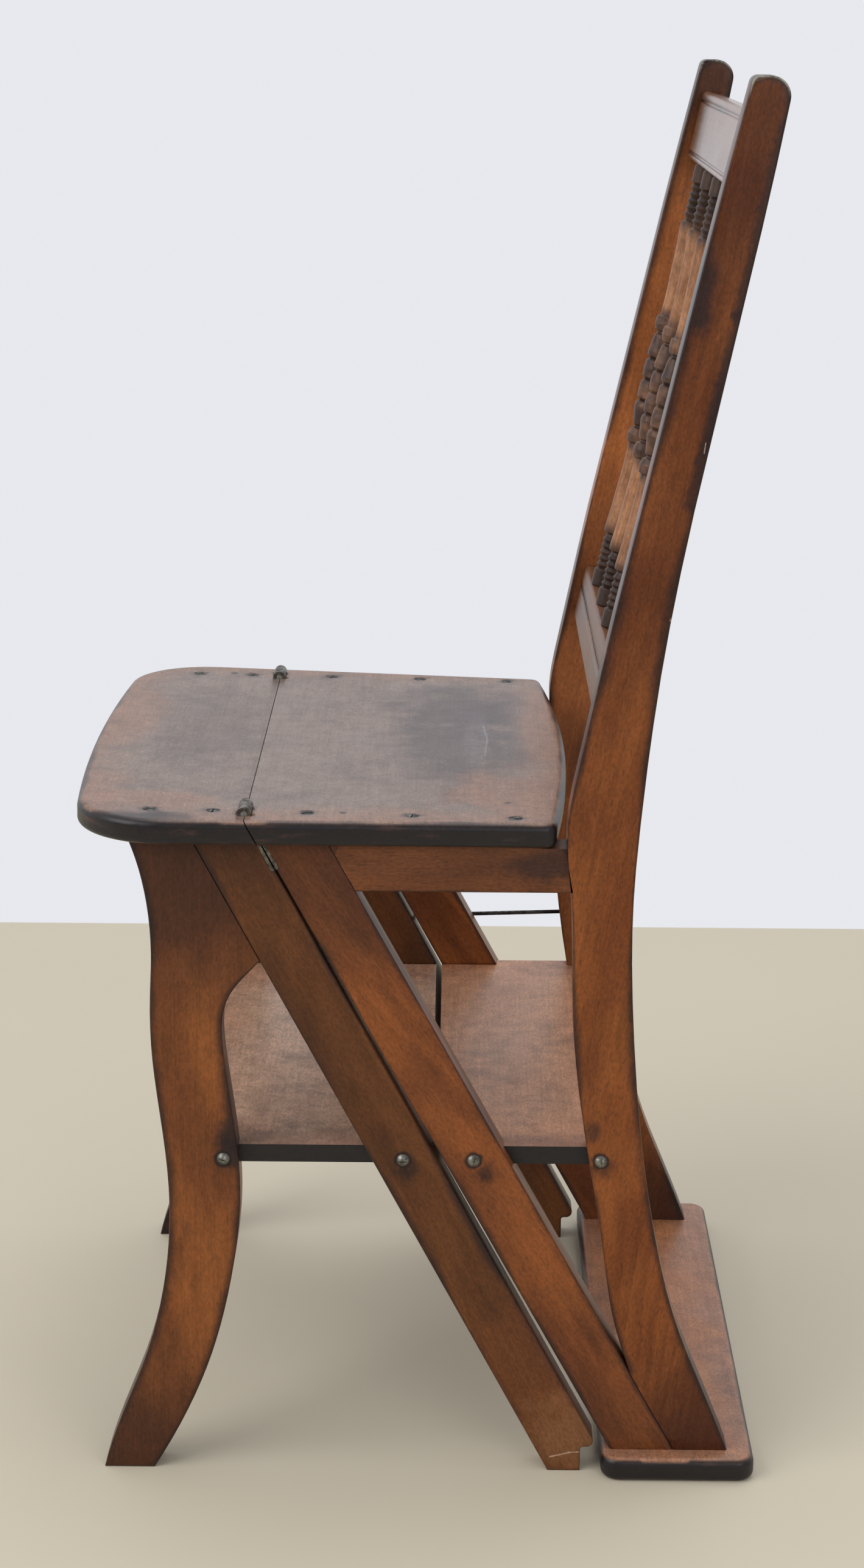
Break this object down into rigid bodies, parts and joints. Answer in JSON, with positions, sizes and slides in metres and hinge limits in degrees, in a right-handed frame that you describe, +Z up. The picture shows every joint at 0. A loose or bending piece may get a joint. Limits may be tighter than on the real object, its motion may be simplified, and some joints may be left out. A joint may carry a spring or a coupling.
{
  "type": "library step chair",
  "caption": "Wooden side chair whose back half hinges over the front edge of its split seat to make library steps, with a turned spindle back.",
  "frame": {"origin": "on the floor, under the middle of the chair's length and width", "axes": "+X from the seat's front to its back, +Y to the sitter's right, +Z up"},
  "size_m": [0.4467, 0.4334, 0.9],
  "materials": {
    "frame_wood": "worn satin varnish",
    "tread_wood": "worn, nearly bare",
    "spindle_wood": "worn satin varnish",
    "dowel_wood": "bare",
    "hinge_brass": "tarnished",
    "screw_steel": "dull",
    "wire_steel": "dull"
  },
  "bodies": {
    "front_frame": {"left_front_leg": "frame_wood", "right_front_leg": "frame_wood", "left_front_diagonal": "frame_wood", "right_front_diagonal": "frame_wood", "front_dowels": "dowel_wood", "front_seat_board": "tread_wood", "front_shelf": "tread_wood", "left_hinge_front_leaf": "hinge_brass", "right_hinge_front_leaf": "hinge_brass", "left_hinge_pin": "hinge_brass", "right_hinge_pin": "hinge_brass", "front_seat_screws": "screw_steel", "front_side_screws": "screw_steel", "front_hinge_screws": "screw_steel", "catch_eye": "wire_steel"},
    "rear_frame": {"left_back_stile": "frame_wood", "right_back_stile": "frame_wood", "left_rear_diagonal": "frame_wood", "right_rear_diagonal": "frame_wood", "left_seat_rail": "frame_wood", "right_seat_rail": "frame_wood", "rear_dowels": "dowel_wood", "rear_seat_board": "tread_wood", "rear_shelf": "tread_wood", "plinth_board": "tread_wood", "crest_rail": "frame_wood", "lower_back_rail": "frame_wood", "spindle_1": "spindle_wood", "spindle_2": "spindle_wood", "spindle_3": "spindle_wood", "spindle_4": "spindle_wood", "left_hinge_rear_leaf": "hinge_brass", "right_hinge_rear_leaf": "hinge_brass", "rear_seat_screws": "screw_steel", "rear_side_screws": "screw_steel", "rear_hinge_screws": "screw_steel", "plinth_screws": "screw_steel", "catch_pivot_screw": "screw_steel"},
    "catch_hook": {"catch_hook": "wire_steel"}
  },
  "joints": [
    {"name": "fold", "type": "hinge", "parent": "front_frame", "child": "rear_frame", "pos_m": [-0.10875, 0, 0.45], "axis": [0, -1, 0], "range_deg": [0, 180]},
    {"name": "catch_lift", "type": "hinge", "parent": "rear_frame", "child": "catch_hook", "pos_m": [0.12701, 0.2018, 0.262], "axis": [0, 1, 0], "range_deg": [0, 270]}
  ]
}
